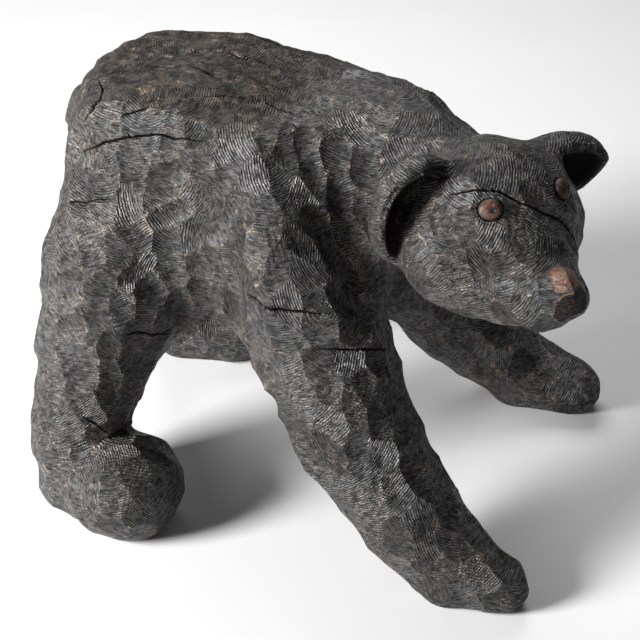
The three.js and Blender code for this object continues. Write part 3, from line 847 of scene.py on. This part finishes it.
def carved_wood():
    """Near-black waxed stain over brushed softwood: every cut has its own tool lines, the log's rings
    stand up here and there as fine ridges, crests are rubbed to tan, painted sheen lies grey on the
    crests of the tool lines and rings and along the streaks, a painted highlight runs along the
    muzzle's edge, and painted shade darkens the splits, the ear hollows and the muzzle's end."""
    material, tree, shader = new_material("carved_wood")
    where = add(tree, "ShaderNodeTexCoord").outputs["Object"]
    about_pith = add(tree, "ShaderNodeMapping", {
        "Vector": where, "Location": tuple(-v for v in LOG_PITH)}).outputs[0]
    rings = add(tree, "ShaderNodeTexWave", {
        "Vector": about_pith, "Scale": RING_SCALE, "Distortion": 14.0, "Detail": 4.0,
        "Detail Scale": 0.3, "Detail Roughness": 0.6},
        wave_type="RINGS", rings_direction="X", wave_profile="SIN").outputs["Fac"]
    cut_map = add(tree, "ShaderNodeUVMap", uv_map="grain_map").outputs[0]
    lines = add(tree, "ShaderNodeTexWave", {
        "Vector": cut_map, "Scale": 108.0, "Distortion": 3.0, "Detail": 3.0, "Detail Scale": 0.8,
        "Detail Roughness": 0.65},
        wave_type="BANDS", bands_direction="X", wave_profile="SIN").outputs["Fac"]
    streak_map = add(tree, "ShaderNodeMapping", {
        "Vector": cut_map, "Scale": (1.0, 0.16, 1.0)}).outputs[0]
    streaks = noise(tree, streak_map, 620.0, 4.0, 0.7)
    pits = noise(tree, where, 700.0, 4.0, 0.7)
    patches = noise(tree, where, 22.0, 4.0, 0.6)
    blotches = noise(tree, where, 90.0, 5.0, 0.65, 0.4)
    specks = noise(tree, where, 420.0, 3.0, 0.75)
    stroke_map = add(tree, "ShaderNodeMapping", {
        "Vector": cut_map, "Scale": (1.0, 0.32, 1.0)}).outputs[0]
    grit = noise(tree, stroke_map, 300.0, 5.0, 0.8)
    tone = attribute(tree, "cut_tone")
    ridge = attribute(tree, "ridge")
    weathered = attribute(tree, "weathered")
    in_ear = attribute(tree, "in_ear")
    side = maths(tree, "ABSOLUTE", attribute(tree, "split_side"))
    width = attribute(tree, "split_width")

    # Colour: stain, with painted sheen as grey on the crests of the tool lines and rings and along the
    # streaks, then wear.
    stain = mixed(tree, between(tree, patches, 0.35, 0.68), STAIN["thick"], STAIN["thin"])
    # Painted sheen: the crests of the tool lines and of the rings are lightened to grey.
    crest = times(tree, between(tree, lines, 0.45, 0.95), between(tree, tone, 0.0, 0.6, 0.5, 1.0))
    ring_crest = times(tree, between(tree, rings, 0.5, 0.95), between(tree, patches, 0.45, 0.6))
    crest = maths(tree, "MAXIMUM", crest, ring_crest)
    crest = times(tree, crest, between(tree, blotches, 0.33, 0.62))
    stain = mixed(tree, times(tree, crest, 0.4), stain, STAIN["line crest sheen"])
    # Painted sheen: grey laid along the brushed streaks of each cut.
    streak_sheen = times(tree, between(tree, tone, 0.2, 1.0, 0.5, 1.0), between(tree, streaks, 0.48, 0.70))
    stain = mixed(tree, times(tree, streak_sheen, 0.4), stain, STAIN["streak sheen"])
    stain = mixed(tree, between(tree, grit, 0.50, 0.38, 0.0, 0.75), stain, STAIN["pore"])
    stain = mixed(tree, between(tree, grit, 0.56, 0.70, 0.0, 0.4), stain, STAIN["dust"])
    browning = times(tree, weathered, between(tree, blotches, 0.4, 0.62))
    stain = mixed(tree, times(tree, browning, 0.7), stain, STAIN["weathered"])
    rubbed = times(tree, between(tree, ridge, 0.25, 0.9), between(tree, blotches, 0.53, 0.66))
    rubbed = times(tree, rubbed, between(tree, specks, 0.45, 0.58))
    stain = mixed(tree, times(tree, rubbed, 0.9), stain, BARE["rubbed ridge"])
    chips = times(tree, between(tree, specks, 0.60, 0.66), between(tree, patches, 0.52, 0.60))
    stain = mixed(tree, times(tree, chips, 0.8), stain, BARE["chip"])

    # Nose: bare reddish wood round a dark spot, above a muzzle end painted near-black as shade.
    def away_from(place, wobble, share):
        there = add(tree, "ShaderNodeVectorMath", {0: where, 1: on_head(place)}, operation="DISTANCE")
        return maths(tree, "ADD", there.outputs["Value"], times(tree, wobble, share))

    # Painted shade: the end face of the muzzle is darkened to near-black.
    muzzle_end_shade = between(tree, away_from(MUZZLE_END_AT, blotches, 0.012), 0.0310, 0.0275)
    stain = mixed(tree, times(tree, muzzle_end_shade, 0.85), stain, STAIN["muzzle end shade"])
    # Painted highlight: a tan band along the border of the muzzle end's painted shade.
    edge = times(tree, muzzle_end_shade, rest_of(tree, muzzle_end_shade))
    edge = maths(tree, "MULTIPLY", edge, between(tree, specks, 0.4, 0.6, 0.0, 2.6), clamp=True)
    stain = mixed(tree, edge, stain, BARE["muzzle edge highlight"])
    flecks = times(tree, muzzle_end_shade, between(tree, specks, 0.58, 0.66))
    stain = mixed(tree, times(tree, flecks, 0.6), stain, BARE["muzzle fleck"])
    bare = between(tree, away_from(NOSE_PATCH_AT, blotches, 0.022), 0.0290, 0.0255)
    bare_colour = mixed(tree, between(tree, specks, 0.35, 0.65), BARE["nose dark"], BARE["nose light"])
    stain = mixed(tree, bare, stain, bare_colour)
    spot = between(tree, away_from(NOSE_SPOT_AT, specks, 0.006), 0.0086, 0.0066)
    stain = mixed(tree, spot, stain, STAIN["nose spot"])

    # Splits: orange lips here and there, painted black inside as shade.
    past_lip = maths(tree, "SUBTRACT", side, width)
    lip = times(tree, between(tree, past_lip, 1.2, 0.2), between(tree, width, 0.15, 0.5))
    lip = times(tree, lip, between(tree, patches, 0.54, 0.62))
    stain = mixed(tree, times(tree, lip, 0.6), stain, BARE["split lip"])
    open_split = times(tree, between(tree, past_lip, 0.25, -0.25), between(tree, width, 0.05, 0.2))
    stain = mixed(tree, open_split, stain, STAIN["shade in a split"])
    # Painted shade: the hollow of each ear is darkened to near-black.
    stain = mixed(tree, times(tree, in_ear, 0.85), stain, STAIN["shade in an ear"])
    tree.links.new(stain, shader.inputs["Base Color"])

    # Sheen: wax lies thick in patches; worn and weathered wood is dull, and holes are bare of it.
    wax = times(tree, between(tree, tone, 0.1, 0.8, 0.75, 1.0),
                between(tree, blotches, 0.35, 0.6, 0.5, 1.0))
    dull = maths(tree, "MAXIMUM", times(tree, weathered, 0.6), times(tree, muzzle_end_shade, 0.75))
    wax = times(tree, wax, rest_of(tree, dull))
    wax = times(tree, wax, rest_of(tree, maths(tree, "MAXIMUM", in_ear, open_split)))
    wax = times(tree, wax, between(tree, grit, 0.38, 0.58, 0.25, 1.0))
    tree.links.new(between(tree, wax, 0.0, 1.0, 0.68, 0.33), shader.inputs["Roughness"])
    tree.links.new(between(tree, wax, 0.0, 1.0, 0.08, 0.95), shader.inputs["Specular IOR Level"])
    shader.inputs["IOR"].default_value = WAX_IOR

    def raised(height, strength, distance, under=None):
        """Relief of this height in metres, over any relief under it."""
        sockets = {"Height": height, "Strength": strength, "Distance": distance}
        if under:
            sockets["Normal"] = under
        return add(tree, "ShaderNodeBump", sockets).outputs[0]

    ring_depth = times(tree, rings, between(tree, patches, 0.4, 0.62, 0.0, 1.0))
    off_nose = rest_of(tree, bare)
    line_depth = times(tree, lines, off_nose)
    line_depth = times(tree, line_depth, between(tree, blotches, 0.3, 0.55, 0.4, 1.0))
    surface = raised(times(tree, ring_depth, off_nose), 0.9, 0.0012)
    surface = raised(line_depth, 1.0, 0.0017, surface)
    surface = raised(streaks, 1.0, 0.0016, surface)
    surface = raised(pits, 0.8, 0.0009, surface)
    surface = raised(times(tree, open_split, -1.0), 0.9, 0.0015, surface)
    tree.links.new(surface, shader.inputs["Normal"])
    return material


def on_head(place):
    """A place given in the head's own axes, in metres in the frame."""
    return tuple((SHIFT + HEAD_AT + HEAD_AXES @ np.array(place, float)) * MM)


def eye_wood():
    """End grain of a reddish turned plug: rings about its middle, dark pupil, and a dark ring painted
    at its edge as the shade of the gap round it.
    """
    material, tree, shader = new_material("eye_wood")
    plug = add(tree, "ShaderNodeUVMap", uv_map="grain_map").outputs[0]
    where = add(tree, "ShaderNodeTexCoord").outputs["Object"]
    off_centre = add(tree, "ShaderNodeMapping", {
        "Vector": plug, "Location": (0.006, -0.004, 0)}).outputs[0]
    rings = add(tree, "ShaderNodeTexWave", {
        "Vector": off_centre, "Scale": 230.0, "Distortion": 2.5, "Detail": 2.0, "Detail Scale": 0.6},
        wave_type="RINGS", rings_direction="Z").outputs["Fac"]
    mottle = noise(tree, where, 190.0, 4.0, 0.7)
    fine = noise(tree, where, 1300.0, 3.0, 0.7)
    out = add(tree, "ShaderNodeVectorMath", {0: plug}, operation="LENGTH").outputs["Value"]
    pupil = add(tree, "ShaderNodeVectorMath", {0: plug, 1: (0.0022, -0.0016, 0)}, operation="DISTANCE")
    colour = mixed(tree, between(tree, mottle, 0.35, 0.65), PLUG["dark"], PLUG["light"])
    ring_share = times(tree, between(tree, rings, 0.2, 0.8), 0.25)
    colour = mixed(tree, ring_share, colour, PLUG["ring"])
    ragged = maths(tree, "ADD", pupil.outputs["Value"], times(tree, mottle, 0.0022))
    dark = between(tree, ragged, 0.0060, 0.0044)
    colour = mixed(tree, dark, colour, PLUG["pupil"])
    # Painted shade: the plug darkens towards its edge, for the gap round it in its socket.
    rim = between(tree, maths(tree, "ADD", out, times(tree, fine, 0.0015)), 0.0100, 0.0122)
    colour = mixed(tree, times(tree, rim, 0.85), colour, PLUG["rim"])
    tree.links.new(colour, shader.inputs["Base Color"])
    tree.links.new(between(tree, mottle, 0.3, 0.7, 0.38, 0.6), shader.inputs["Roughness"])
    shader.inputs["Specular IOR Level"].default_value = 0.3
    bump = add(tree, "ShaderNodeBump", {"Height": rings, "Strength": 0.3, "Distance": 0.0003})
    bump = add(tree, "ShaderNodeBump", {
        "Height": fine, "Strength": 0.4, "Distance": 0.0004, "Normal": bump.outputs[0]})
    tree.links.new(bump.outputs[0], shader.inputs["Normal"])
    return material


def pale_floor():
    """Smooth pale board with the faintest mottle."""
    material, tree, shader = new_material("pale_floor")
    where = add(tree, "ShaderNodeTexCoord").outputs["Object"]
    cloud = noise(tree, where, 3.0, 3.0)
    colour = mixed(tree, cloud, FLOOR_DARK, FLOOR_LIGHT)
    tree.links.new(colour, shader.inputs["Base Color"])
    shader.inputs["Roughness"].default_value = 0.7
    return material


# ---------------------------------------------------------------- the stage
CAMERA_AZIMUTH, CAMERA_ELEVATION = math.radians(17.9), math.radians(34.6)
CAMERA_DISTANCE, CAMERA_TARGET, VIEW_WIDTH = 1.8689, (-0.0082, -0.0060, 0.2142), 0.7731
LIT_PLACE = (0, 0, 0.3)
WINDOW = dict(at=(-2.15, -2.05, 1.4), size=(0.9, 1.2), power=375)
OVERHEAD = dict(at=(-0.6, 1.5, 2.3), size=(2.0, 1.5), power=60)
SURROUND_COLOUR, SURROUND_STRENGTH = (0.95, 0.97, 1.0, 1), 0.12
FLOOR_HALF = 25.0


def stand_camera():
    """Camera looking back along the view direction, its lens set by the width seen at the target."""
    data = bpy.data.cameras.new("camera")
    camera = bpy.data.objects.new("camera", data)
    bpy.context.scene.collection.objects.link(camera)
    back = Vector((
        math.sin(CAMERA_AZIMUTH) * math.cos(CAMERA_ELEVATION),
        -math.cos(CAMERA_AZIMUTH) * math.cos(CAMERA_ELEVATION),
        math.sin(CAMERA_ELEVATION)))
    camera.location = Vector(CAMERA_TARGET) + back * CAMERA_DISTANCE
    camera.rotation_euler = (-back).to_track_quat("-Z", "Y").to_euler()
    data.lens = data.sensor_width * CAMERA_DISTANCE / VIEW_WIDTH
    bpy.context.scene.camera = camera


def area_light(name, at, size, power):
    """A soft white light, its flat face turned to the carving."""
    data = bpy.data.lights.new(name, "AREA")
    data.shape = "RECTANGLE"
    data.size, data.size_y = size
    data.energy = power
    light = bpy.data.objects.new(name, data)
    bpy.context.scene.collection.objects.link(light)
    light.location = at
    light.rotation_euler = (Vector(LIT_PLACE) - Vector(at)).to_track_quat("-Z", "Y").to_euler()


def set_stage():
    """Pale floor, pale surroundings, and two large soft lights."""
    corners = np.array([(-1, -1, 0), (1, -1, 0), (1, 1, 0), (-1, 1, 0)]) * FLOOR_HALF
    floor = make_piece("floor", corners, np.array([[0, 1, 2, 3]]))
    floor.data.materials.append(pale_floor())
    area_light("window", **WINDOW)
    area_light("overhead", **OVERHEAD)
    world = bpy.data.worlds.new("surroundings")
    bpy.context.scene.world = world
    world.use_nodes = True
    background = world.node_tree.nodes["Background"]
    background.inputs["Color"].default_value = SURROUND_COLOUR
    background.inputs["Strength"].default_value = SURROUND_STRENGTH
    bpy.context.scene.view_settings.view_transform = "Standard"


# ---------------------------------------------------------------- the pieces
set_stage()
stand_camera()

carving = carve_bear(SKIN_CELL)
bear = make_piece(
    "carved_log", carving.pop("vertices"), carving.pop("triangles"), crease=RIDGE_ANGLE, **carving)
bear.data.materials.append(carved_wood())
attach(bear, "root")
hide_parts("bear_body")

plug_wood = eye_wood()
for side, at, axis in eye_frames():
    name = "eye_left" if side > 0 else "eye_right"
    plug = eye_plug(name + "_plug", at, axis)
    plug.data.materials.append(plug_wood)
    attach(plug, "root")
    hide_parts(name)
